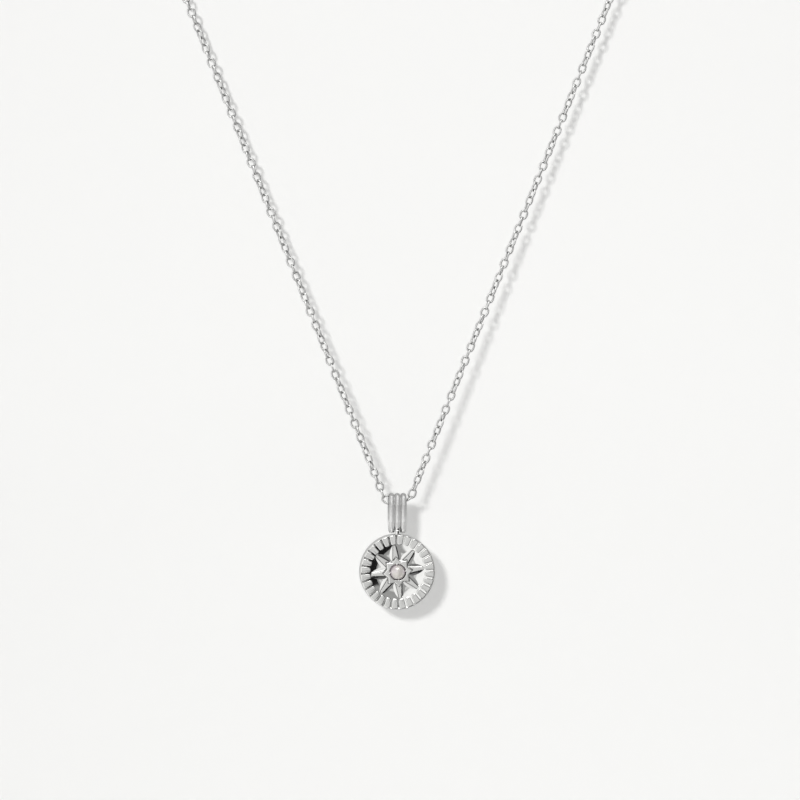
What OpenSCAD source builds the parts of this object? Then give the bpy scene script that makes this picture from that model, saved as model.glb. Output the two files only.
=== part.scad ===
// Birthstone pendant necklace: a fluted medallion with an eight-rayed star and a pearl hangs
// from a three-ribbed bail on a fine cable chain. Millimetres, +Z up, the front faces -Y.
// The origin is the inner side of the clasp, where the necklace lies on the nape.

/* [Chain] */
// Width of the chain's links
chain_d = 1.5; // [1.3:0.1:1.6]
// Longest stretch of chain between two rings of its tube
ring_step = 6.6; // [6.4:0.1:7]

/* [Clasp] */
// Diameter of the barrel
barrel_d = 2.8; // [2.4:0.1:2.8]
// Length of the barrel without its eyes
barrel_l = 6.6; // [5:0.2:7]
// Wire of the eyes
eye_wire = 0.5; // [0.4:0.05:0.6]
// Outer diameter of the eyes
eye_d = 1.9; // [1.7:0.1:2.1]

/* [Bail] */
// Height of the bail
bail_h = 6.9; // [6.6:0.1:7.2]
// Depth of the bail from front to back
bail_depth = 3.2; // [3.1:0.1:3.4]
// Height from the top of the bail down to its upper crease
top_slant = 2; // [1.8:0.1:2.2]
// Height from the lower crease down to the foot of the bail
foot_slant = 2; // [1.9:0.1:2.2]
// Distance from rib to rib
rib_pitch = 1.05; // [1:0.05:1.1]
// Wall over the chain
bail_wall = 0.43; // [0.4:0.01:0.45]
// Diameter of the cross pin at the foot
pin_d = 0.5; // [0.4:0.05:0.55]

/* [Medallion] */
// Diameter of the medallion
disc_d = 13; // [12:0.5:14]
// Thickness of the medallion at its rim
disc_t = 2.4; // [2.2:0.1:2.6]
// Gap between the foot of the bail and the rim
rim_gap = 0.2; // [0.15:0.05:0.4]
// Number of flutes round the rim
flutes = 28; // [24:2:32]
// Depth of the grooves between the flutes
groove_depth = 0.45; // [0.3:0.05:0.5]
// Radius of the sunk dish
dish_r = 4.75; // [4.6:0.05:4.9]
// Depth of the dish below the rim at its middle
dish_depth = 1.1; // [1:0.05:1.15]
// Width of the lug that hangs on the bail's pin
lug_w = 0.55; // [0.45:0.05:0.7]

/* [Star] */
// Number of rays
rays = 8; // [6:1:10]
// Radius of the star at its tips
star_r = 4.7; // [4.4:0.05:4.7]
// Turn of the star, anticlockwise as seen from the front
star_turn = 6.9; // [0:0.1:20]

/* [Pearl] */
// Diameter of the pearl
pearl_d = 2.7; // [2.5:0.05:2.8]

/* [Hidden] */
$fn = 64;

// Half of the chain's route, as [x, z] from the clasp's eye, round the neck and down to the bail.
route_half = [
    [5, 1.2], [9, 0.5], [22, -3.5], [33, -10.5], [42, -20], [49, -34], [51.5, -46], [51, -59],
    [48, -69.5], [42, -84.5], [36, -99.5], [30, -114.5], [24, -129.5], [18, -144.5],
    [12, -159.5], [6, -174.5], [4, -179.5], [3, -182], [2.3, -183.7], [1.3, -184.4]
];
chain_low = [0, -184.4];
sides = 8;

// The barrel's waist between its two caps
waist_cut = 0.5;
waist_l = 1.6;

// The bail's section, in a plane across the chain: [y, z]
crown_h = 1.4; // from the chain's middle up to the top of the bail
bail_top = chain_low[1] + crown_h;
bail_foot = bail_top - bail_h;
bore_r = crown_h - bail_wall;
narrow_r = bore_r - 0.5;
crown_r = 1.28;
foot_r = 0.75;
pin_z = bail_foot + foot_r;
rib_steps = [[0, 0.5], [0.1, 0.78]]; // [inset from the outline, width]
web_inset = 0.2;
web_margin = 0.45;
lug_room = 0.74; // from the pin's middle up to the end of the middle rib
pin_l = 2.52;

// The medallion, with its own +Z to the front
disc_r = disc_d / 2;
disc_z = bail_foot - rim_gap - disc_r;
half_t = disc_t / 2;
groove_z = half_t - groove_depth;
edge_band = 0.14;
band_h = 0.25;
edge_round = 0.3;
dish_rise = 0.45;
dish_floor = half_t - dish_depth;
dish_ball_r = (dish_r * dish_r + dish_rise * dish_rise) / (2 * dish_rise);
flute_pitch = 360 / flutes;
flute_turn = 4.4;
flute_in = 0.74;
flute_start = dish_r + 0.1;
flute_out = 1.06;
star_valley_r = 2.05;
star_top = half_t + 0.2;
tip_z = half_t - 0.45;
valley_z = half_t - 0.6;
collet_point_r = 2.5;
collet_valley_r = 1.92;
collet_top = half_t + 0.25;
seat_gap = 0.06;
pearl_r = pearl_d / 2;
pearl_z = half_t - 0.6;
grain_r = 0.16;
grain_place = pearl_r + 0.05;
lug_r = 0.62;
lug_t = 0.8;
lug_root = 0.4; // depth of the lug in the rim
pin_play = 0.04;

// A point at the parameter t on the smooth curve from b to c, with a before it and d after it
function between(a, b, c, d, t) =
    b + 0.5 * t * (c - a)
    + t * t * (a - 2.5 * b + 2 * c - 0.5 * d)
    + t * t * t * (1.5 * (b - c) + 0.5 * (d - a));

function mirrored(p) = [-p[0], p[1]];
function reversed(v) = [for (i = [len(v) - 1:-1:0]) v[i]];

route = concat(route_half, [chain_low], reversed([for (p = route_half) mirrored(p)]));

function at(i) = route[max(0, min(len(route) - 1, i))];
function steps(i) = let (l = norm(at(i + 1) - at(i))) l < 2 ? 2 : max(1, round(l / ring_step));

path = concat(
    [for (i = [0:len(route) - 2], k = [0:steps(i) - 1])
        between(at(i - 1), at(i), at(i + 1), at(i + 2), k / steps(i))],
    [at(len(route) - 1)]
);

function heading(i) =
    let (d = path[min(len(path) - 1, i + 1)] - path[max(0, i - 1)]) d / norm(d);

// One ring of the tube: [x, y, z] points round the path's point i
function ring(i) = let (h = heading(i)) [
    for (k = [0:sides - 1])
        let (a = (k + 0.5) * 360 / sides, r = chain_d / 2)
            [path[i][0] - r * cos(a) * h[1], r * sin(a), path[i][1] + r * cos(a) * h[0]]
];

// The point where a line from p touches a circle, on the side that turn gives
function touch(centre, r, p, turn) =
    let (v = p - centre, a = atan2(v[1], v[0]) + turn * acos(r / norm(v)))
        centre + r * [cos(a), sin(a)];

function polar(r, a) = [r * cos(a), r * sin(a)];

module chain() {
    n = len(path);
    color("silver")
        polyhedron(
            points = [for (i = [0:n - 1]) each ring(i)],
            faces = concat(
                [[for (k = [0:sides - 1]) k]],
                [for (i = [0:n - 2], k = [0:sides - 1])
                    let (a = i * sides + k, b = i * sides + (k + 1) % sides)
                        [a, a + sides, b + sides, b]],
                [[for (k = [sides - 1:-1:0]) (n - 1) * sides + k]]
            )
        );
}

module clasp() {
    eye_middle = barrel_l / 2 + eye_d / 2 - eye_wire * 0.6;
    color("silver")
        translate([0, 0, barrel_d / 2]) {
            rotate([0, 90, 0]) {
                cylinder(d = barrel_d - waist_cut, h = barrel_l, center = true);
                for (end = [-1, 1])
                    translate([0, 0, end * barrel_l / 4])
                        cylinder(d = barrel_d, h = (barrel_l - waist_l) / 2, center = true);
            }
            for (end = [-1, 1])
                translate([end * eye_middle, 0, 0])
                    rotate([90, 0, 0])
                        rotate_extrude()
                            translate([(eye_d - eye_wire) / 2, 0])
                                circle(d = eye_wire);
        }
}

// Half of the bail's outline, on the side that turn gives, drawn in by inset
module bail_half_outline(inset, turn) {
    crown = [0, bail_top - crown_r];
    foot = [0, pin_z];
    upper = [turn * (bail_depth / 2 - inset), bail_top - top_slant];
    lower = [turn * (bail_depth / 2 - inset), bail_foot + foot_slant];
    polygon([
        [0, bail_top - crown_r], touch(crown, crown_r - inset, upper, turn),
        upper, lower, touch(foot, foot_r - inset, lower, -turn), [0, pin_z]
    ]);
}

module bail_outline(inset) {
    for (turn = [-1, 1])
        bail_half_outline(inset, turn);
    translate([0, bail_top - crown_r])
        circle(crown_r - inset);
    translate([0, pin_z])
        circle(foot_r - inset);
}

// The long hollow that the chain runs through, round over the chain
module bail_hollow() {
    polygon([
        [-bore_r, chain_low[1]], [bore_r, chain_low[1]],
        [bore_r, bail_foot + foot_slant], [narrow_r, pin_z + lug_r],
        [-narrow_r, pin_z + lug_r], [-bore_r, bail_foot + foot_slant]
    ]);
    translate(chain_low)
        circle(bore_r);
}

// Extrudes a [y, z] outline along X, centred
module along_x(w) {
    rotate([90, 0, 90])
        linear_extrude(w, center = true)
            children();
}

module bail() {
    color("silver") {
        difference() {
            union() {
                for (rib = [-1:1], step = rib_steps)
                    translate([rib * rib_pitch, 0, 0])
                        along_x(step[1])
                            bail_outline(step[0]);
                along_x(2 * (rib_pitch + web_margin))
                    bail_outline(web_inset);
            }
            along_x(4 * rib_pitch)
                bail_hollow();
            translate([-rib_pitch / 2, -bail_depth, bail_foot - 1])
                cube([rib_pitch, 2 * bail_depth, pin_z + lug_room - bail_foot + 1]);
        }
        translate([0, 0, pin_z])
            rotate([0, 90, 0])
                cylinder(d = pin_d, h = pin_l, center = true);
    }
}

// A flute: a bar from the dish to the edge band, round at its inner end
module flute() {
    linear_extrude(groove_depth + 0.1) {
        polygon([
            [flute_start + flute_in / 2, -flute_in / 2], [disc_r - edge_band, -flute_out / 2],
            [disc_r - edge_band, flute_out / 2], [flute_start + flute_in / 2, flute_in / 2]
        ]);
        translate([flute_start + flute_in / 2, 0])
            circle(d = flute_in);
    }
}

module disc() {
    difference() {
        union() {
            rotate_extrude()
                polygon([
                    [0, -half_t], [disc_r - edge_round, -half_t], [disc_r, edge_round - half_t],
                    [disc_r, groove_z + band_h], [disc_r - edge_band, groove_z + band_h],
                    [disc_r - edge_band, groove_z], [0, groove_z]
                ]);
            for (i = [0:flutes - 1])
                rotate(90 - flute_turn + i * flute_pitch)
                    translate([0, 0, groove_z - 0.1])
                        flute();
        }
        intersection() {
            translate([0, 0, dish_floor + dish_ball_r])
                sphere(dish_ball_r, $fn = 128);
            translate([0, 0, dish_floor - 0.1])
                cylinder(r = dish_r, h = dish_depth + 1);
        }
    }
}

// The star as one faceted boss: an apex, its tips and the valleys between them
module star() {
    n = 2 * rays;
    rim_points = [
        for (i = [0:n - 1])
            let (tip = i % 2 == 0, a = 90 + star_turn + i * 180 / rays)
                [each polar(tip ? star_r : star_valley_r, a), tip ? tip_z : valley_z]
    ];
    base = [for (p = rim_points) [p[0], p[1], 0]];
    polyhedron(
        points = concat(rim_points, base, [[0, 0, star_top]]),
        faces = concat(
            [for (i = [0:n - 1]) [i, 2 * n, (i + 1) % n]],
            [for (i = [0:n - 1]) [i, (i + 1) % n, n + (i + 1) % n]],
            [for (i = [0:n - 1]) [i, n + (i + 1) % n, n + i]],
            [[for (i = [0:n - 1]) n + i]]
        )
    );
}

// The raised collet round the pearl, with a small point along each ray
module collet() {
    linear_extrude(collet_top)
        polygon([
            for (i = [0:2 * rays - 1])
                polar(i % 2 == 0 ? collet_point_r : collet_valley_r,
                      90 + star_turn + i * 180 / rays)
        ]);
}

module grains() {
    for (i = [0:3])
        rotate(90 + star_turn + i * 90)
            translate([grain_place, 0, collet_top])
                sphere(grain_r, $fn = 32);
}

module medallion_face() {
    difference() {
        union() {
            disc();
            star();
            collet();
        }
        translate([0, 0, pearl_z - pearl_r - seat_gap])
            cylinder(r = pearl_r + seat_gap, h = disc_t);
    }
    grains();
}

module lug() {
    difference() {
        union() {
            translate([0, 0, pin_z])
                rotate([0, 90, 0])
                    cylinder(r = lug_r, h = lug_w, center = true);
            translate([-lug_w / 2, -lug_t / 2, disc_z + disc_r - lug_root])
                cube([lug_w, lug_t, pin_z - disc_z - disc_r + lug_root]);
        }
        translate([0, 0, pin_z])
            rotate([0, 90, 0])
                cylinder(r = pin_d / 2 + pin_play, h = 2 * lug_w, center = true);
    }
}

module medallion() {
    color("gainsboro") {
        translate([0, 0, disc_z])
            rotate([90, 0, 0])
                medallion_face();
        lug();
    }
}

module pearl() {
    color("mistyrose")
        translate([0, -pearl_z, disc_z])
            sphere(pearl_r);
}

chain();
clasp();
bail();
medallion();
pearl();
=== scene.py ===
from math import acos, atan2, cos, exp, pi, radians, sin, sqrt

import bmesh
import bpy
from mathutils import Matrix, Quaternion, Vector


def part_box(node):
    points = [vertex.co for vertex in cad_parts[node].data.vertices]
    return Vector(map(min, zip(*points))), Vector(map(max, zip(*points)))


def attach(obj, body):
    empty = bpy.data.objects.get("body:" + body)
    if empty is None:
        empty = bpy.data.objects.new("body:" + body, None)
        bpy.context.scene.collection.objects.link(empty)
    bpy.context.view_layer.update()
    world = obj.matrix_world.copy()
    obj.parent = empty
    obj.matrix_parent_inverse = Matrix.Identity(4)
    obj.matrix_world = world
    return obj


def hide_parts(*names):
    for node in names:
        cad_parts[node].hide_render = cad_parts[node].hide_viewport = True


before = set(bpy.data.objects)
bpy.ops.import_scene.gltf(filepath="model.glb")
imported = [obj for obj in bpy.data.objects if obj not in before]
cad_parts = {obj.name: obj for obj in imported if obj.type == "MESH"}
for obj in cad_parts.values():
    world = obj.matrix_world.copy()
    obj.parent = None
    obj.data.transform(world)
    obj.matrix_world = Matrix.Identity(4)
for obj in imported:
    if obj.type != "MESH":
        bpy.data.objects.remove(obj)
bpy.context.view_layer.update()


# Chain
# A fine cable chain of oval links, each bent from round silver wire, soldered shut and polished.
# Every link stands a quarter turn from its neighbour, and the hanging chain twists slowly.
mm = 0.001
link_wire = 0.34 * mm
link_length = 1.86 * mm
link_width = 1.5 * mm
link_pitch = 1.297 * mm
twist_each = radians(102.9)  # turn from link to link, a quarter and a little more
bail_twist = radians(45)  # what the left strand turns besides, close to the bail
bail_twist_links = 6
mouth_links = 3  # links from the middle of the bail out to the one at its mouth
route_steps = 24

# Half of the route, as (x, z) from the clasp's eye, round the neck and down to the bail
route_half = [
    (5, 1.2), (9, 0.5), (22, -3.5), (33, -10.5), (42, -20), (49, -34), (51.5, -46), (51, -59),
    (48, -69.5), (42, -84.5), (36, -99.5), (30, -114.5), (24, -129.5), (18, -144.5),
    (12, -159.5), (6, -174.5), (4, -179.5), (3, -182), (2.3, -183.7), (1.3, -184.4),
]
chain_low = (0, -184.4)
route = [Vector((x, 0, z)) * mm for x, z in route_half + [chain_low]]
route += [Vector((-p.x, 0, p.z)) for p in reversed(route[:-1])]


class Shade:
    """A socket in a node tree. Arithmetic on it adds Math nodes."""

    def __init__(self, tree, socket=None):
        self.tree = tree
        self.socket = socket

    def node(self, kind, settings=None, inputs=None, output=0):
        """Adds a node, makes its settings, then sets or links its sockets, and wraps one output."""
        made = self.tree.nodes.new(kind)
        for name, value in (settings or {}).items():
            setattr(made, name, value)
        for name, value in (inputs or {}).items():
            if isinstance(value, Shade):
                self.tree.links.new(value.socket, made.inputs[name])
            else:
                made.inputs[name].default_value = value
        return Shade(self.tree, made.outputs[output] if made.outputs else None)

    def maths(self, operation, *values):
        return self.node("ShaderNodeMath", {"operation": operation}, dict(enumerate(values)))

    def step(self, low, high):
        """Rises smoothly from 0 at low to 1 at high."""
        return self.node(
            "ShaderNodeMapRange",
            {"interpolation_type": "SMOOTHSTEP"},
            {"Value": self, "From Min": low, "From Max": high},
        )

    def noise(self, scale, detail=2.0, distortion=0.0):
        """Noise over this vector, from 0 to 1."""
        return self.node(
            "ShaderNodeTexNoise", {},
            {"Vector": self, "Scale": scale, "Detail": detail, "Distortion": distortion},
        )

    def scaled(self, x, y, z):
        """This vector stretched along each axis."""
        return self.node(
            "ShaderNodeVectorMath", {"operation": "MULTIPLY"}, {0: self, 1: (x, y, z)}
        )

    def blend(self, low, high):
        """A colour between two, low where this is 0 and high where it is 1."""
        return self.node(
            "ShaderNodeMix", {"data_type": "RGBA"}, {0: self, 6: low, 7: high}, 2
        )

    def __add__(self, other):
        return self.maths("ADD", self, other)

    def __radd__(self, other):
        return self.maths("ADD", other, self)

    def __sub__(self, other):
        return self.maths("SUBTRACT", self, other)

    def __rsub__(self, other):
        return self.maths("SUBTRACT", other, self)

    def __mul__(self, other):
        return self.maths("MULTIPLY", self, other)

    def __rmul__(self, other):
        return self.maths("MULTIPLY", other, self)


def new_material(name):
    """An empty material, its node tree wrapped, and its object coordinates."""
    made = bpy.data.materials.new(name)
    made.use_nodes = True
    made.node_tree.nodes.clear()
    tree = Shade(made.node_tree)
    return made, tree, tree.node("ShaderNodeTexCoord", output="Object")


def finish_material(piece, material, tree, shader):
    """Wires the shader to the material's output and puts the material on the piece."""
    tree.node("ShaderNodeOutputMaterial", {}, {"Surface": shader})
    piece.data.materials.clear()
    piece.data.materials.append(material)


def silver(piece, name, bright, dull, gloss, scuff, bump, grain, nook, nook_shade, bare=1.0):
    """Polished silver: faint clouds of polish, fine wear lines, a trace of unevenness, and painted
    shade that darkens nooks of that size, found by ambient occlusion, and where the piece is
    marked."""
    material, tree, place = new_material(name)
    shade_colour = (0.12, 0.12, 0.12, 1)
    clouds = place.noise(900, 3.0)
    lines = place.scaled(*grain).noise(9000, 2.0, 0.4)
    wear = clouds.step(0.35, 0.7)
    # Painted shade: the base colour goes dark where ambient occlusion finds a nook, and where the
    # piece is marked
    open_air = tree.node("ShaderNodeAmbientOcclusion", {"samples": 12}, {"Distance": nook}, "AO")
    marked = tree.node("ShaderNodeAttribute", {"attribute_name": "painted_shade"}, output="Fac")
    painted_shade = tree.maths("MAXIMUM", nook_shade * (1 - open_air.step(0.45, 0.85)), marked)
    shader = tree.node(
        "ShaderNodeBsdfPrincipled",
        {},
        {
            "Base Color": painted_shade.blend(wear.blend(bright, dull), shade_colour),
            "Metallic": bare,
            "Roughness": gloss + scuff * lines.step(0.4, 0.75),
            "Normal": tree.node(
                "ShaderNodeBump", {}, {"Height": lines, "Strength": 0.5, "Distance": bump}
            ),
        },
    )
    finish_material(piece, material, tree, shader)


def start(primitive, scale=(1, 1, 1), **where):
    """Adds a primitive with nothing else selected, applies its place and size and returns it."""
    bpy.ops.object.select_all(action="DESELECT")
    primitive(**where)
    made = bpy.context.object
    made.scale = scale
    bpy.ops.object.transform_apply(location=True, rotation=True, scale=True)
    return made


def pick(piece, test, kind="verts"):
    """In edit mode, selects just the vertices, edges or faces whose middle passes the test."""
    mesh = bmesh.from_edit_mesh(piece.data)
    bpy.context.tool_settings.mesh_select_mode = (
        kind == "verts", kind == "edges", kind == "faces"
    )
    bpy.ops.mesh.select_all(action="DESELECT")
    for item in getattr(mesh, kind):
        points = [item] if kind == "verts" else item.verts
        item.select_set(test(sum((p.co for p in points), Vector()) / len(points)))
    mesh.select_flush_mode()
    bmesh.update_edit_mesh(piece.data)


def edit(piece):
    """Opens a piece in edit mode with all of it selected."""
    bpy.ops.object.select_all(action="DESELECT")
    piece.select_set(True)
    bpy.context.view_layer.objects.active = piece
    bpy.ops.object.mode_set(mode="EDIT")
    bpy.ops.mesh.select_all(action="SELECT")


def close_edit():
    bpy.ops.object.mode_set(mode="OBJECT")


def joined(pieces, name):
    """Joins pieces into one, with its place in its mesh."""
    bpy.ops.object.select_all(action="DESELECT")
    for piece in pieces:
        piece.select_set(True)
    bpy.context.view_layer.objects.active = pieces[0]
    bpy.ops.object.join()
    bpy.ops.object.transform_apply(location=True, rotation=True, scale=True)
    pieces[0].name = name
    return pieces[0]


def copied(piece, matrix):
    """A copy of a piece with its own mesh, at another place."""
    made = piece.copy()
    made.data = piece.data.copy()
    made.matrix_world = matrix
    bpy.context.collection.objects.link(made)
    return made


def between(a, b, c, d, t):
    """A point on the smooth curve from b to c, with a before it and d after it."""
    return (
        b + 0.5 * t * (c - a)
        + t * t * (a - 2.5 * b + 2 * c - 0.5 * d)
        + t * t * t * (1.5 * (b - c) + 0.5 * (d - a))
    )


def route_at(index):
    return route[max(0, min(len(route) - 1, index))]


line = [
    between(route_at(i - 1), route_at(i), route_at(i + 1), route_at(i + 2), k / route_steps)
    for i in range(len(route) - 1)
    for k in range(route_steps)
] + [route[-1]]
run = [0.0]
for here, there in zip(line, line[1:]):
    run.append(run[-1] + (there - here).length)


def along_route(distance):
    """The point that far along the route, which runs straight on past both its ends."""
    if distance <= 0:
        return line[0] + (line[0] - line[1]).normalized() * -distance
    if distance >= run[-1]:
        return line[-1] + (line[-1] - line[-2]).normalized() * (distance - run[-1])
    i = next(k for k in range(1, len(run)) if run[k] >= distance) - 1
    return line[i].lerp(line[i + 1], (distance - run[i]) / (run[i + 1] - run[i]))


def strand_turns(count, extra):
    """The turn of each link from the clasp's eye, edge on, to the bail's mouth, face on."""
    def more(i):
        return extra * (1 - exp(-(count - i) / bail_twist_links))

    first = pi / 2 - more(0)
    half_turns = round((twist_each * count + first) / pi)
    each = (pi * half_turns - first) / count
    return [first + each * i + more(i) for i in range(count + 1)]


# An odd number of links, so that the middle one lies across in the bail. Each strand turns on its
# own down to the bail's mouth, and the few links inside turn evenly from one mouth to the other.
links = 2 * round((run[-1] / link_pitch - 1) / 2) + 1
strand = (links - 1) // 2 - mouth_links + 1
right = strand_turns(strand, 0)
left = strand_turns(strand, bail_twist)
inside = links - 2 * strand
across = pi / 2 + round((twist_each * inside - pi / 2) / pi) * pi
turns = right + [right[-1] + across * k / inside for k in range(1, inside)]
shift = turns[-1] + across / inside - left[-1]
turns += [shift + turn for turn in reversed(left)]

# A ring of wire, drawn out to an oval
link = start(
    bpy.ops.mesh.primitive_torus_add,
    major_segments=12, minor_segments=6, rotation=(pi / 2, 0, 0),
    major_radius=(link_width - link_wire) / 2, minor_radius=link_wire / 2,
)
edit(link)
for side in (-1, 1):
    pick(link, lambda p: p.z * side > link_wire / 10)
    bpy.ops.transform.translate(value=(0, 0, side * (link_length - link_width) / 2))
close_edit()
bpy.ops.object.shade_smooth()

hung = []
for i, turn in enumerate(turns):
    reach = run[-1] * i / links
    ahead = along_route(reach + link_pitch / 2) - along_route(reach - link_pitch / 2)
    lean = Matrix.Rotation(atan2(ahead.x, ahead.z), 4, "Y")
    place = Matrix.Translation(along_route(reach))
    hung.append(copied(link, place @ lean @ Matrix.Rotation(turn, 4, "Z")))
bpy.data.objects.remove(link)
chain_links = joined(hung, "chain_links")
# Painted shade, darkest where the links cross and touch
silver(
    chain_links, "chain_wire_silver", (0.8, 0.8, 0.795, 1), (0.7, 0.7, 0.695, 1),
    gloss=0.38, scuff=0.1, bump=0.004 * mm, grain=(1, 1, 1), nook=0.7 * mm, nook_shade=1.0,
)
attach(chain_links, "chain")
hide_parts("chain")


# Clasp
# A small barrel clasp of turned silver in two halves that screw together at the waist, with a
# wire eye soldered to each end. Fine milled lines round both halves give the fingers a hold.
clasp_low, clasp_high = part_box("clasp")
barrel_z = (clasp_low.z + clasp_high.z) / 2
eye_r = 0.7 * mm
eye_wire = 0.25 * mm
eye_x = clasp_high.x - eye_r - eye_wire

# The right half of the barrel from its middle, in mm: place along the barrel, radius
half_barrel = [
    (0.0, 1.15), (0.8, 1.15), (0.8, 1.3), (0.9, 1.4), (1.15, 1.4), (1.2, 1.34), (1.25, 1.4),
    (1.5, 1.4), (1.55, 1.34), (1.6, 1.4), (2.6, 1.4), (2.9, 1.34), (3.1, 1.15), (3.22, 0.85),
    (3.3, 0.4),
]
barrel = [(-x, r) for x, r in reversed(half_barrel[1:])] + half_barrel


def turned(axis, base, stations, vertices):
    """A turned body: a round face, extruded from station to station. A station is a place along
    the axis from the base and a radius, both in mm."""
    at = [base + axis * place * mm for place, radius in stations]
    body = start(
        bpy.ops.mesh.primitive_circle_add, vertices=vertices, radius=stations[0][1] * mm,
        fill_type="NGON", location=at[0], rotation=axis.to_track_quat("Z", "Y").to_euler(),
    )
    edit(body)
    for i in range(1, len(stations)):
        bpy.ops.mesh.extrude_region_move(TRANSFORM_OT_translate={"value": at[i] - at[i - 1]})
        factor = stations[i][1] / stations[i - 1][1]
        bpy.ops.transform.resize(value=(factor,) * 3, center_override=at[i])
    bpy.ops.mesh.select_all(action="SELECT")
    bpy.ops.mesh.normals_make_consistent(inside=False)
    close_edit()
    return body


def smooth(piece, angle):
    """Smooth shading, with edges sharper than the angle, in degrees, left crisp. The larger faces
    lead it, so that a flat stays flat up to its rounded edge."""
    bpy.ops.object.select_all(action="DESELECT")
    piece.select_set(True)
    bpy.context.view_layer.objects.active = piece
    bpy.ops.object.shade_smooth_by_angle(angle=radians(angle), keep_sharp_edges=True)
    lead = piece.modifiers.new("flats", "WEIGHTED_NORMAL")
    lead.keep_sharp = True
    lead.weight = 50
    bpy.ops.object.modifier_apply(modifier=lead.name)


parts = [turned(Vector((1, 0, 0)), Vector((0, 0, barrel_z)), barrel, 48)]
for side in (-1, 1):
    parts.append(
        start(
            bpy.ops.mesh.primitive_torus_add, major_segments=40, minor_segments=14,
            major_radius=eye_r, minor_radius=eye_wire, rotation=(pi / 2, 0, 0),
            location=(side * eye_x, 0, barrel_z),
        )
    )
barrel_clasp = joined(parts, "barrel_clasp")
smooth(barrel_clasp, 30)
# Painted shade in the clasp's milled grooves
silver(
    barrel_clasp, "clasp_turned_silver", (0.88, 0.88, 0.87, 1), (0.8, 0.8, 0.79, 1),
    gloss=0.09, scuff=0.1, bump=0.002 * mm, grain=(4, 0.4, 0.4), nook=0.1 * mm, nook_shade=0.7,
)
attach(barrel_clasp, "chain")
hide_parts("clasp")


# Bail
# Three half-round silver wires, bent to the same long loop with a crease above and below, and
# soldered side by side on a thin band. The middle one stops short of the cross pin at the foot.
bail_low, bail_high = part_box("bail")
bail_top = bail_high.z
bail_foot = bail_low.z
half_depth = bail_high.y
crown_r = 1.28 * mm
foot_r = 0.75 * mm
slant_top = 2 * mm
slant_foot = 2 * mm
rib_width = 0.98 * mm
rib_pitch = 1.04 * mm
rib_rise = 0.43 * mm
wall = 0.5 * mm
band_top = 0.4 * mm  # depth of the band's outer side below the ribs' crowns
pin_z = bail_foot + foot_r
pin_r = 0.25 * mm
pin_length = 2.4 * mm
slot_half = 0.5 * mm
slot_r = 0.72 * mm  # room for the lug round the pin, under the middle rib's slanting end
cheek_r = foot_r - 0.05 * mm
cheek_rise = 0.1 * mm  # how much higher than round the top of a cheek is
cheek_swell = 1.05  # how much deeper than round it is there
crease_reach = 0.1 * mm  # how far below the upper crease the shade painted on the crown ends
# How dark the shade painted on the bail's crown, its cheeks and its pin is
crown_shade = 0.35
cheek_shade = 0.9
pin_shade = 0.6
speck = 0.0001 * mm  # how near a plane a vertex counts as on it, when a mesh is cut
crown = Vector((0, 0, bail_top - crown_r))
foot = Vector((0, 0, pin_z))


def touch(centre, radius, point, side):
    """The angle from up, towards the front, at which a line from the point touches a circle."""
    reach = point - centre
    return atan2(-reach.y, reach.z) + side * acos(radius / reach.length)


def rim(centre, radius, angle):
    return centre + radius * Vector((0, -sin(angle), cos(angle)))


upper_crease = Vector((0, -half_depth, bail_top - slant_top))
lower_crease = Vector((0, -half_depth, bail_foot + slant_foot))
crown_end = touch(crown, crown_r, upper_crease, -1)
foot_start = touch(foot, foot_r, lower_crease, 1)
arc_steps = 7

# The front half of the loop, from the top to the foot: place, angle from up
stations = []
for k in range(arc_steps + 1):
    angle = crown_end * k / arc_steps
    stations.append((rim(crown, crown_r, angle), angle))
stations.append((upper_crease, (crown_end + pi / 2) / 2))
stations.append((lower_crease, (foot_start + pi / 2) / 2))
for k in range(arc_steps + 1):
    angle = foot_start + (pi - foot_start) * k / arc_steps
    stations.append((rim(foot, foot_r, angle), angle))


def looped(section, stops=False):
    """Leads a section, drawn at the top of the bail, down the front, and mirrors it behind.
    One that stops is cut off on a slant over the pin."""
    edit(section)
    for (here, lean), (there, next_lean) in zip(stations, stations[1:]):
        bpy.ops.mesh.extrude_region_move(TRANSFORM_OT_translate={"value": there - here})
        # with no window, the operator turns the other way
        bpy.ops.transform.rotate(
            value=lean - next_lean, orient_axis="X", center_override=there
        )
    # the end faces go, so that the two halves meet
    pick(section, lambda p: abs(p.y) < 0.001 * mm, "faces")
    bpy.ops.mesh.delete(type="FACE")
    if stops:
        slant = Vector((0, -1, 1)).normalized()
        bpy.ops.mesh.select_all(action="SELECT")
        bpy.ops.mesh.bisect(
            plane_co=foot + slant * slot_r, plane_no=slant, clear_inner=True, use_fill=True,
            threshold=speck,
        )
    bpy.ops.mesh.select_all(action="SELECT")
    bpy.ops.mesh.normals_make_consistent(inside=False)
    close_edit()
    mirror = section.modifiers.new("back", "MIRROR")
    mirror.use_axis = (False, True, False)
    mirror.merge_threshold = 0.002 * mm
    bpy.ops.object.modifier_apply(modifier=mirror.name)
    edit(section)
    bpy.ops.mesh.normals_make_consistent(inside=False)
    for crease in (upper_crease, lower_crease):
        pick(section, lambda p: abs(p.z - crease.z) < 0.15 * mm, "edges")
        bpy.ops.mesh.mark_sharp()
    close_edit()
    return section


def mark_painted_shade(piece, test):
    """Marks how much shade is painted on each vertex: the value the test gives it."""
    marks = piece.data.attributes.new("painted_shade", "FLOAT", "POINT")
    for mark, vertex in zip(marks.data, piece.data.vertices):
        mark.value = test(vertex.co / mm)


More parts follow.
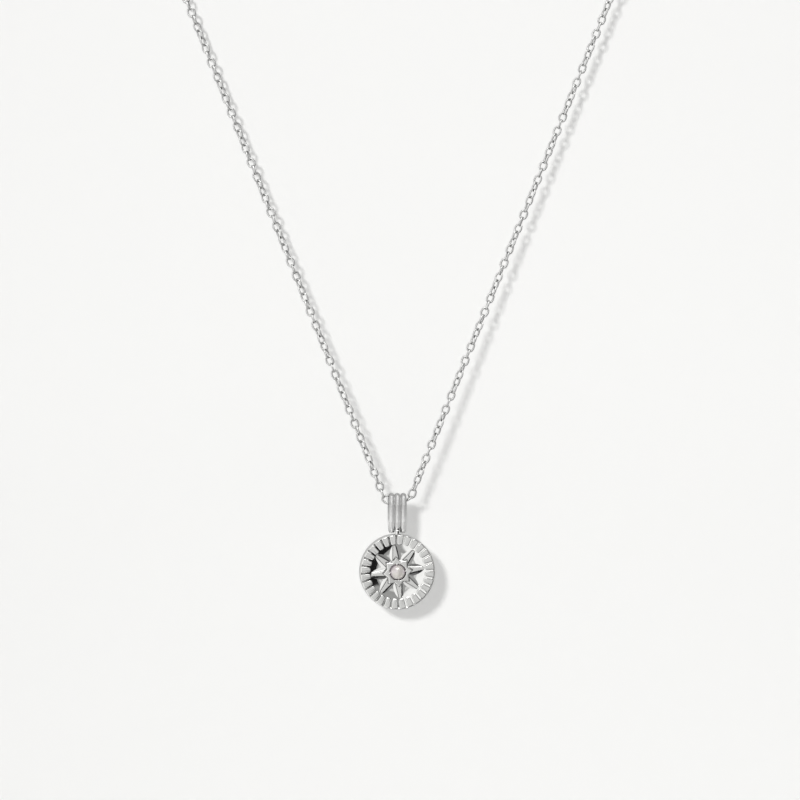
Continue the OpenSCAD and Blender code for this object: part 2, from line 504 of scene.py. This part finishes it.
parts = []
for rib in (-1, 0, 1):
    section = start(
        bpy.ops.mesh.primitive_circle_add, vertices=28, radius=1, fill_type="NGON",
        location=(rib * rib_pitch, 0, bail_top - rib_rise), rotation=(pi / 2, 0, 0),
        scale=(rib_width / 2, rib_rise, 1),
    )
    edit(section)
    bpy.ops.mesh.bisect(
        plane_co=(0, 0, bail_top - wall), plane_no=(0, 0, 1), clear_inner=True,
        threshold=speck,
    )
    close_edit()
    looped(section, stops=rib == 0)
    # Painted shade: the crown above the upper crease is made darker
    mark_painted_shade(section, lambda p: crown_shade * (p.z * mm > upper_crease.z - crease_reach))
    parts.append(section)
band = start(
    bpy.ops.mesh.primitive_plane_add, size=1, rotation=(pi / 2, 0, 0),
    location=(0, 0, bail_top - (wall + band_top) / 2),
    scale=(2 * rib_pitch, wall - band_top, 1),
)
parts.append(looped(band, stops=True))

# A solid cheek in the foot on each side, inside the outer ribs, holds the pin
for side in (-1, 1):
    inner = slot_half
    outer = rib_pitch + 0.3 * rib_width
    cheek = start(
        bpy.ops.mesh.primitive_cylinder_add, vertices=48, radius=cheek_r,
        depth=outer - inner, rotation=(0, pi / 2, 0),
        location=(side * (inner + outer) / 2, 0, pin_z),
    )
    edit(cheek)
    pick(cheek, lambda p: p.z > pin_z + cheek_rise)
    bpy.ops.transform.resize(value=(1, cheek_swell, 1), center_override=foot)
    bpy.ops.transform.translate(value=(0, 0, cheek_rise))
    close_edit()
    # Painted shadow: the cheeks are made dark, as the shadow in the bail's foot
    mark_painted_shade(cheek, lambda p: cheek_shade)
    parts.append(cheek)
pin = start(
    bpy.ops.mesh.primitive_cylinder_add, vertices=32, radius=pin_r, depth=pin_length,
    rotation=(0, pi / 2, 0), location=foot,
)
# Painted shadow on the pin as well
mark_painted_shade(pin, lambda p: pin_shade)
parts.append(pin)
ribbed_bail = joined(parts, "ribbed_bail")
smooth(ribbed_bail, 35)
# Painted shade in the grooves between the ribs
silver(
    ribbed_bail, "bail_wire_silver", (0.8, 0.8, 0.795, 1), (0.74, 0.74, 0.735, 1),
    gloss=0.4, scuff=0.06, bump=0.003 * mm, grain=(1, 1, 0.15), nook=0.2 * mm, nook_shade=0.25,
    bare=0.55,
)
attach(ribbed_bail, "bail")
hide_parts("bail")


# Medallion
# A cast and polished silver disc with a ring of flutes round a sunk mirror dish. An eight-rayed
# star stands in the dish, with a pointed collet for the pearl. A lug on top takes the bail's pin.
# It is modelled face up on the bench, in mm from its middle, and stood up at the end.
disc_r = 6.5
half_t = 1.2
disc_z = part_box("medallion")[0].z + disc_r * mm
flutes = 28
flute_turn = radians(4.4)
flute_in = 0.8  # width at the inner end
flute_out = 1.11  # width at the outer end
flute_start = 4.72
flute_foot = 0.3  # height at which a flute starts, inside the disc
flute_corner = 0.28
flute_edge = 0.09
flute_flat = 0.025  # margin that keeps the top flat up to its rounded edge
flute_crown = 0.012
edge_band = 0.14
dish_r = 4.9
trough_r = 3.17  # radius at which the dish is deepest
trough_in = 2.78  # radius inside which it rises evenly
trough_z = 0.27
dish_bend = 0.0765  # how sharply the trough curves up, per mm
dish_steps = 40
pocket_r = 1.41
pocket_z = -0.75
rays = 8
star_turn = radians(6.9)
collet_point = 2.52
collet_valley = 1.86
collet_top = 1.45
collet_edge = 0.13
collet_askew = radians(1.3)
collet_foot = 1.17  # how far the collet's foot spreads
grains = 4
grain_r = 0.16
grain_place = pocket_r - 0.01
lug_r = 0.62
lug_width = 0.62
lug_thick = 0.8
lug_bore = 0.29
lug_root = 0.4  # depth of the lug's neck in the rim
lug_edge = 0.05
lug_y = (pin_z - disc_z) / mm
hair = 0.01  # how near a picked vertex, edge or face is to the place asked for


def dish_z(radius):
    """Height of the dish's mirror at that radius: a round trough that rises to the rim, and
    evenly to the collet."""
    bent = max(radius, trough_in)
    even = 2 * dish_bend * (trough_r - trough_in) * (bent - radius)
    return trough_z + dish_bend * (bent - trough_r) ** 2 + even


# The disc, from the middle of its back round its edge to its face: height, radius
disc_line = [
    (-half_t, 3.0), (-half_t, 5.9), (-half_t, 6.15), (-1.17, 6.3), (-1.08, 6.42), (-0.95, 6.49),
    (-0.8, disc_r), (0.85, disc_r), (0.97, 6.47), (1.04, 6.42), (1.05, 6.36), (1.02, 6.3),
    (0.8, 6.22), (0.77, 6.16), (0.53, 5.04),
]
dish_line = [dish_r * k / dish_steps for k in range(dish_steps, 0, -1)]
disc_line += [(dish_z(radius), radius) for radius in dish_line if radius > pocket_r]
disc_line += [(dish_z(pocket_r), pocket_r), (pocket_z, pocket_r), (pocket_z, 0.3)]
parts = [turned(Vector((0, 0, 1)), Vector(), disc_line, 168)]


def box(centre, size):
    """A block of that size."""
    return start(bpy.ops.mesh.primitive_cube_add, size=1, location=centre, scale=size)


def carved(piece, tool):
    """Cuts the tool out of a piece and removes the tool."""
    bpy.context.view_layer.objects.active = piece
    cut = piece.modifiers.new("carve", "BOOLEAN")
    cut.operation = "DIFFERENCE"
    cut.solver = "EXACT"
    cut.object = tool
    bpy.ops.object.modifier_apply(modifier=cut.name)
    bpy.data.objects.remove(tool)


def eased(piece, width, segments, angle=35):
    """Rounds the edges of a piece that are sharper than the angle, in degrees."""
    bpy.context.view_layer.objects.active = piece
    bevel = piece.modifiers.new("ease", "BEVEL")
    bevel.width = width
    bevel.segments = segments
    bevel.angle_limit = radians(angle)
    bpy.ops.object.modifier_apply(modifier=bevel.name)


# A flute, wider towards the rim, with round corners at the dish and a faint ridge along its top
flute = box(
    Vector((flute_start + disc_r - edge_band, 0, half_t + flute_foot)) * mm / 2,
    Vector((disc_r - edge_band - flute_start, flute_in, half_t - flute_foot)) * mm,
)
flute_middle = (flute_start + disc_r) / 2
upright_z = (half_t + flute_foot) / 2  # the middle of its upright edges
edit(flute)
pick(flute, lambda p: p.x > flute_middle * mm)
bpy.ops.transform.resize(value=(1, flute_out / flute_in, 1), center_override=(0, 0, 0))
pick(
    flute,
    lambda p: p.x < flute_middle * mm and abs(p.z - upright_z * mm) < hair * mm,
    "edges",
)
bpy.ops.mesh.bevel(offset=flute_corner * mm, segments=6, affect="EDGES")
bpy.ops.mesh.select_all(action="SELECT")
bpy.ops.mesh.bisect(plane_co=(0, 0, 0), plane_no=(0, 1, 0), threshold=speck)
pick(flute, lambda p: abs(p.z - half_t * mm) < hair * mm and abs(p.y) > hair * mm, "edges")
bpy.ops.mesh.bevel(offset=flute_edge * mm, segments=3, affect="EDGES")
pick(flute, lambda p: p.z > (half_t - hair / 5) * mm, "faces")
bpy.ops.mesh.inset(thickness=flute_flat * mm)
pick(flute, lambda p: abs(p.y) < hair * mm and p.z > (half_t - hair / 5) * mm)
bpy.ops.transform.translate(value=(0, 0, flute_crown * mm))
close_edit()
for i in range(flutes):
    turn = pi / 2 - flute_turn + i * 2 * pi / flutes
    parts.append(copied(flute, Matrix.Rotation(turn, 4, "Z")))
bpy.data.objects.remove(flute)

# A ray: a flat shelf with sloping flanks, and on it a finger with a trench round it. Its line from
# the collet to its tip, in mm: radius, half the width of its shelf
ray_line = [
    (1.5, 0.67), (2.3, 0.565), (3.0, 0.475), (3.6, 0.4), (4.1, 0.34), (4.38, 0.31), (4.56, 0.26),
    (4.69, 0.16),
]
# The ray's foot, waist and shelf, in mm: height, how much further out than the shelf
ray_levels = [(0.2, 0.75), (0.38, 0.16), (0.45, 0)]
trench = 0.105  # between the shelf's edge and the finger that stands on it
trench_depth = 0.05
finger_z = 0.6
finger_edge = 0.045
finger_flat = 0.012  # margin that keeps the finger's top flat
nose_x = 4.5  # where the finger's blunt end begins
ray = box(
    Vector((ray_line[0][0] + ray_line[-1][0], 0, 2)) * mm / 2,
    Vector((ray_line[-1][0] - ray_line[0][0], 2, 2)) * mm,
)
edit(ray)
bpy.ops.mesh.bisect(plane_co=(0, 0, mm), plane_no=(0, 0, 1), threshold=speck)
for radius, shelf_half in ray_line[1:-1]:
    bpy.ops.mesh.select_all(action="SELECT")
    bpy.ops.mesh.bisect(plane_co=(radius * mm, 0, 0), plane_no=(1, 0, 0), threshold=speck)
for radius, shelf_half in ray_line:
    for level, (height, spread) in enumerate(ray_levels):
        pick(ray, lambda p: (p - Vector((radius, p.y / mm, level)) * mm).length < hair * mm)
        bpy.ops.transform.resize(value=(1, shelf_half + spread, 1), center_override=(0, 0, 0))
        bpy.ops.transform.translate(value=(0, 0, (height - level) * mm))
shelf_z = ray_levels[-1][0]
pick(ray, lambda p: p.z > (shelf_z - hair) * mm, "faces")
bpy.ops.mesh.inset(thickness=trench * mm)
bpy.ops.transform.translate(value=(0, 0, -trench_depth * mm))
bpy.ops.mesh.extrude_region_move(
    TRANSFORM_OT_translate={"value": (0, 0, (finger_z - shelf_z + trench_depth) * mm)}
)
pick(
    ray,
    lambda p: p.z > (finger_z - hair) * mm and (abs(p.y) > hair * mm or p.x > nose_x * mm),
    "edges",
)
bpy.ops.mesh.bevel(offset=finger_edge * mm, segments=3, affect="EDGES")
pick(ray, lambda p: p.z > (finger_z - hair / 5) * mm, "faces")
bpy.ops.mesh.inset(thickness=finger_flat * mm)
close_edit()


def ray_shade(p):
    """Painted shade: full in the trench and less on the shelf's outer edge."""
    in_trench = abs(p.z - shelf_z + trench_depth) < hair / 2
    on_edge = abs(p.z - shelf_z) < hair / 2
    return max(in_trench, 0.4 * on_edge)


mark_painted_shade(ray, ray_shade)
for i in range(rays):
    turn = pi / 2 + star_turn + i * 2 * pi / rays
    parts.append(copied(ray, Matrix.Rotation(turn, 4, "Z")))
bpy.data.objects.remove(ray)

# The collet, a little star with a point on each ray, bored for the pearl
collet = start(
    bpy.ops.mesh.primitive_circle_add, vertices=2 * rays, radius=collet_point * mm,
    fill_type="NGON", rotation=(0, 0, pi / 2 + star_turn),
)
first_point = collet.data.vertices[0].co.copy()
first_angle = atan2(first_point.y, first_point.x)
edit(collet)
pick(collet, lambda p: cos(rays * (atan2(p.y, p.x) - first_angle)) < 0)
valley = collet_valley / collet_point
bpy.ops.transform.resize(value=(valley, valley, 1), center_override=(0, 0, 0))
pick(collet, lambda p: True, "faces")
bpy.ops.mesh.extrude_region_move(
    TRANSFORM_OT_translate={"value": (0, 0, collet_top * mm)}
)
pick(collet, lambda p: p.z < hair * mm)
bpy.ops.transform.resize(value=(collet_foot, collet_foot, 1), center_override=(0, 0, 0))
bpy.ops.mesh.select_all(action="SELECT")
bpy.ops.mesh.normals_make_consistent(inside=False)
close_edit()
carved(
    collet,
    start(
        bpy.ops.mesh.primitive_cylinder_add, vertices=64, radius=pocket_r * mm,
        depth=4 * mm,
    ),
)
eased(collet, collet_edge * mm, 4)
# Painted shadow on the collet's sides, below its top edge
mark_painted_shade(collet, lambda p: 0.9 * (p.z < collet_top - 0.1))
edit(collet)
bpy.ops.transform.rotate(
    value=collet_askew, orient_axis="Y", center_override=(0, 0, collet_top * mm)
)
close_edit()
parts.append(collet)

for i in range(grains):
    turn = pi / 2 + star_turn + i * 2 * pi / grains
    grain_at = Vector((cos(turn) * grain_place, sin(turn) * grain_place, collet_top))
    parts.append(
        start(
            bpy.ops.mesh.primitive_uv_sphere_add, segments=20, ring_count=12,
            radius=grain_r * mm, location=grain_at * mm,
        )
    )

# The lug: a round eye cut off at its neck, and the neck led down into the rim
neck_high = lug_y - sqrt(lug_r ** 2 - (lug_thick / 2) ** 2)
neck_low = disc_r - lug_root
lug = start(
    bpy.ops.mesh.primitive_circle_add, vertices=64, radius=lug_r * mm, fill_type="NGON",
    rotation=(0, pi / 2, 0), location=(-lug_width / 2 * mm, lug_y * mm, 0),
)
edit(lug)
bpy.ops.mesh.bisect(
    plane_co=(0, neck_high * mm, 0), plane_no=(0, 1, 0), clear_inner=True, threshold=speck
)
pick(lug, lambda p: p.y < (neck_high + hair / 10) * mm, "edges")
bpy.ops.mesh.extrude_region_move(
    TRANSFORM_OT_translate={"value": (0, (neck_low - neck_high) * mm, 0)}
)
bpy.ops.mesh.select_all(action="SELECT")
bpy.ops.mesh.extrude_region_move(TRANSFORM_OT_translate={"value": (lug_width * mm, 0, 0)})
bpy.ops.mesh.select_all(action="SELECT")
bpy.ops.mesh.normals_make_consistent(inside=False)
close_edit()
carved(
    lug,
    start(
        bpy.ops.mesh.primitive_cylinder_add, vertices=48, radius=lug_bore * mm,
        depth=2 * mm, rotation=(0, pi / 2, 0), location=(0, lug_y * mm, 0),
    ),
)
eased(lug, lug_edge * mm, 2, 60)
parts.append(lug)
fluted_medallion = joined(parts, "fluted_medallion")
fluted_medallion.matrix_world = (
    Matrix.Translation((0, 0, disc_z)) @ Matrix.Rotation(pi / 2, 4, "X")
)
bpy.ops.object.transform_apply(location=True, rotation=True, scale=True)
smooth(fluted_medallion, 30)
# Painted shade in the medallion's small nooks
silver(
    fluted_medallion, "medallion_mirror_silver", (0.9, 0.9, 0.89, 1), (0.84, 0.84, 0.83, 1),
    gloss=0.04, scuff=0.06, bump=0.001 * mm, grain=(1, 1, 1), nook=0.04 * mm, nook_shade=0.7,
)
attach(fluted_medallion, "medallion")
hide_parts("medallion")


# Pearl
# A small round cultured pearl, glued into the collet's cup: pale pink nacre over white, glossy
# on top and a little uneven under it.
pearl_low, pearl_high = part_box("pearl")
pearl_middle = (pearl_low + pearl_high) / 2
pearl_middle.y -= 0.2 * mm  # it sits high in its cup, up against the grains
pearl_r = (pearl_high.x - pearl_low.x) / 2 + 0.01 * mm
bead = start(
    bpy.ops.mesh.primitive_uv_sphere_add, segments=64, ring_count=40, radius=pearl_r,
    location=pearl_middle, rotation=(pi / 2, 0, 0),
)
bead.name = "pearl_bead"
waves = bpy.data.textures.new("nacre_waves", "CLOUDS")
waves.noise_scale = 1.1 * mm
swell = bead.modifiers.new("uneven", "DISPLACE")
swell.texture = waves
swell.strength = 0.03 * mm
swell.mid_level = 0.6
bpy.ops.object.modifier_apply(modifier=swell.name)
bpy.ops.object.shade_smooth()


def nacre(piece, name):
    """Nacre: pink and cream clouds under a clear gloss, with painted shade that makes it darker and
    rosier towards its edge, as seen from the front.
    """
    material, tree, place = new_material(name)
    pink = (0.66, 0.59, 0.62, 1)
    cream = (0.65, 0.62, 0.58, 1)
    shaded_rose = (0.56, 0.49, 0.53, 1)
    clouds = place.noise(700, 3.0)
    layers = place.noise(6000, 4.0)
    body = clouds.step(0.35, 0.65).blend(pink, cream)
    # Painted shade: darker towards the pearl's edge, as seen from the front
    from_front = tree.node(
        "ShaderNodeVectorMath", {"operation": "DISTANCE"},
        {0: place, 1: pearl_middle - Vector((0, pearl_r, 0))}, "Value",
    )
    edge_shade = from_front.step(0.77 * pearl_r, 1.4 * pearl_r)
    shader = tree.node(
        "ShaderNodeBsdfPrincipled",
        {},
        {
            "Base Color": edge_shade.blend(body, shaded_rose),
            "Metallic": 0.15,
            "Roughness": 0.26 + 0.1 * layers,
            "Coat Weight": 1.0,
            "Coat Roughness": 0.26,
            "Coat IOR": 2.1,
            "Normal": tree.node(
                "ShaderNodeBump", {},
                {"Height": layers, "Strength": 0.2, "Distance": 0.002 * mm},
            ),
        },
    )
    finish_material(piece, material, tree, shader)


nacre(bead, "pearl_nacre")
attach(bead, "medallion")
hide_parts("pearl")


# Stage
# A pale paper sweep hangs close behind the necklace, a little askew. It leans back behind the
# pendant and curves forward into the floor. It shows from the front only, so that the back views
# look through it.
sweep_askew = radians(4)
sweep_half = 0.9
sweep_top = 0.7

# Its line from where it starts to lean, in mm: y, z
sweep_line = [
    (9.4, -110), (10, -122), (10.8, -136), (12, -150), (13.6, -163), (15, -175), (15.5, -186),
    (15.8, -198), (16.6, -212), (18.2, -232), (19.8, -252), (19.8, -270), (14, -296), (0, -321),
    (-25, -341), (-60, -353), (-110, -358), (-300, -358),
]
sweep_at = [Vector((0, y, z)) * mm for y, z in sweep_line]
sweep_y = sweep_at[0].y
sweep = start(
    bpy.ops.mesh.primitive_plane_add, size=1, rotation=(pi / 2, 0, 0),
    location=(0, sweep_y, (sweep_top + sweep_at[0].z) / 2),
    scale=(2 * sweep_half, sweep_top - sweep_at[0].z, 1),
)
edit(sweep)
pick(sweep, lambda p: p.z < sweep_at[0].z + mm, "edges")
for here, there in zip(sweep_at, sweep_at[1:]):
    bpy.ops.mesh.extrude_region_move(TRANSFORM_OT_translate={"value": there - here})
bpy.ops.mesh.select_all(action="SELECT")
bpy.ops.transform.rotate(
    value=-sweep_askew, orient_axis="Z", center_override=(0, sweep_y, 0)
)
close_edit()
bpy.ops.object.shade_smooth()
sweep.name = "paper_sweep"


def paper(piece, name):
    """Matt white paper with a faint tooth, clear from behind."""
    material, tree, place = new_material(name)
    hollow = (0.9, 0.9, 0.893, 1)
    raised = (0.905, 0.905, 0.898, 1)
    tooth = place.noise(600, 2.0)
    matt = tree.node("ShaderNodeBsdfDiffuse", {}, {"Color": tooth.blend(hollow, raised)})
    clear = tree.node("ShaderNodeBsdfTransparent")
    behind = tree.node("ShaderNodeNewGeometry", output="Backfacing")
    finish_material(
        piece, material, tree,
        tree.node("ShaderNodeMixShader", {}, {0: behind, 1: matt, 2: clear}),
    )


paper(sweep, "sweep_paper")
sweep.visible_glossy = False


# Camera
# A long lens straight in front, a little to the left and above, as the photo was taken.
aim = Vector((0.43, 0, -166.93)) * mm
camera_distance = 0.3835
camera_side = radians(-6)
camera_rise = radians(2)
camera_roll = radians(0.168)


def direction(side, rise):
    """The direction that lies that far to the right of the front, and that far above it."""
    return Vector((sin(side) * cos(rise), -cos(side) * cos(rise), sin(rise)))


lens = bpy.data.cameras.new("camera")
lens.lens = 100
lens.sensor_width = 36
camera = bpy.data.objects.new("camera", lens)
back = direction(camera_side, camera_rise)
camera.location = aim + back * camera_distance
camera.rotation_mode = "QUATERNION"
camera.rotation_quaternion = (-back).to_track_quat("-Z", "Y") @ Quaternion((0, 0, 1), camera_roll)
bpy.context.collection.objects.link(camera)
bpy.context.scene.camera = camera


# Light
# A small soft key from the upper left casts the shadows on the sweep. It faces up past the pendant,
# so that it is as strong all over the sweep. A fill by the lens lightens the shadows. The polished
# silver mirrors a white tent on the left, and on the right a darker room.
key_at = Vector((-0.141, -0.588, -0.061))
key_toward = Vector((0.47, 0.6, 0.37))
key_size = 0.046
key_power = 5.9
fill_power = 10.6


def even_light(name, kind, power, place):
    """A lamp as strong at any distance, that polished silver doesn't mirror."""
    light = bpy.data.lights.new(name, kind)
    light.energy = power
    light.use_nodes = True
    light.node_tree.nodes.clear()
    tree = Shade(light.node_tree)
    even = tree.node("ShaderNodeLightFalloff", {}, {"Strength": 1.0}, "Constant")
    glow = tree.node("ShaderNodeEmission", {}, {"Color": (1, 0.998, 0.99, 1), "Strength": even})
    tree.node("ShaderNodeOutputLight", {}, {"Surface": glow})
    lamp = bpy.data.objects.new(name, light)
    lamp.location = place
    lamp.visible_glossy = False
    lamp.visible_camera = False
    bpy.context.collection.objects.link(lamp)
    return lamp


key = even_light("key", "AREA", key_power, key_at)
key.data.shape = "DISK"
key.data.size = key_size
key.rotation_euler = key_toward.to_track_quat("-Z", "Y").to_euler()
fill = even_light("fill", "POINT", fill_power, camera.location)
fill.data.shadow_soft_size = 4 * mm

world = bpy.data.worlds.new("tent")
world.use_nodes = True
world.node_tree.nodes.clear()
tree = Shade(world.node_tree)
toward = tree.node("ShaderNodeTexCoord", output="Generated")

# Where a direction lies, as seen from what the medallion's flat faces mirror, in degrees: its
# angle from there, and the same shared out to the right and up
ahead = direction(radians(6), radians(-4.4))
to_right = direction(radians(6 + 90), 0)
to_top = to_right.cross(ahead) * -1


def along(axis):
    """How far the direction goes along an axis."""
    return tree.node(
        "ShaderNodeVectorMath", {"operation": "DOT_PRODUCT"}, {0: toward, 1: axis}, "Value"
    )


off = tree.maths("ARCCOSINE", along(ahead)) * (180 / pi)
sine = tree.maths("SQRT", 1.000001 - along(ahead) * along(ahead))
aside = tree.maths("DIVIDE", off * along(to_right), sine)
above = tree.maths("DIVIDE", off * along(to_top), sine)

# The room on the right, and its darker part round the camera
room = aside.step(-5.5, -2.5)
dim = room * off.step(2.5, 5.5) * (1 - off.step(60, 70))

# The tent's black opening: a slanting band on the right, from low down up to the camera's height
band = aside - 0.2 * above
opening = band.step(7.2, 9.2) * (1 - band.step(27, 31))
opening = opening * (1 - (above - 0.47 * aside).step(-1, 2)) * above.step(-31, -25)

# A grey flag low on the right, an arc that the rays' flanks mirror
flag = aside.step(-14, 2) * off.step(41, 44) * (1 - off.step(53, 57)) * (1 - above.step(6, 14))

# A wide lamp overhead, and the tent's duller top and foot
lamp_off = tree.maths("SQRT", 0.35 * (aside + 4) * (aside + 4) + (above - 58) * (above - 58))
lamp = 1 - lamp_off.step(12, 20)
ends = tree.maths("ABSOLUTE", above).step(24, 40)

# What each of these adds to the tent's brightness of 1
tent = 1.0
for feature, glow in (
    (room, -0.33), (dim, -0.32), (opening, -0.345), (flag, -0.33), (lamp, 3.6), (ends, -0.2)
):
    tent = tent + glow * feature
darkest = 0.012
tent = tree.maths("MAXIMUM", tent, darkest)

# Behind the pendant the tent is evenly grey
behind = off.step(95, 130)
behind_glow = 0.55
tent = tent * (1 - behind) + behind_glow * behind
pale = tree.node("ShaderNodeBackground", {}, {"Color": (0.94, 0.94, 0.925, 1)})
plain = tree.node("ShaderNodeBackground", {}, {"Color": (0.995, 0.995, 1, 1), "Strength": 0.25})
mirrored = tree.node("ShaderNodeBackground", {}, {"Color": (1, 1, 0.99, 1), "Strength": tent})
glossy = tree.node("ShaderNodeLightPath", output="Is Glossy Ray")
seen = tree.node("ShaderNodeLightPath", output="Is Camera Ray")
lit = tree.node("ShaderNodeMixShader", {}, {0: glossy, 1: plain, 2: mirrored})
backdrop = tree.node("ShaderNodeMixShader", {}, {0: seen, 1: lit, 2: pale})
tree.node("ShaderNodeOutputWorld", {}, {"Surface": backdrop})
world.cycles.sampling_method = "NONE"  # so that silver always sees the tent, and never the plain
bpy.context.scene.world = world
bpy.context.scene.view_settings.view_transform = "Standard"
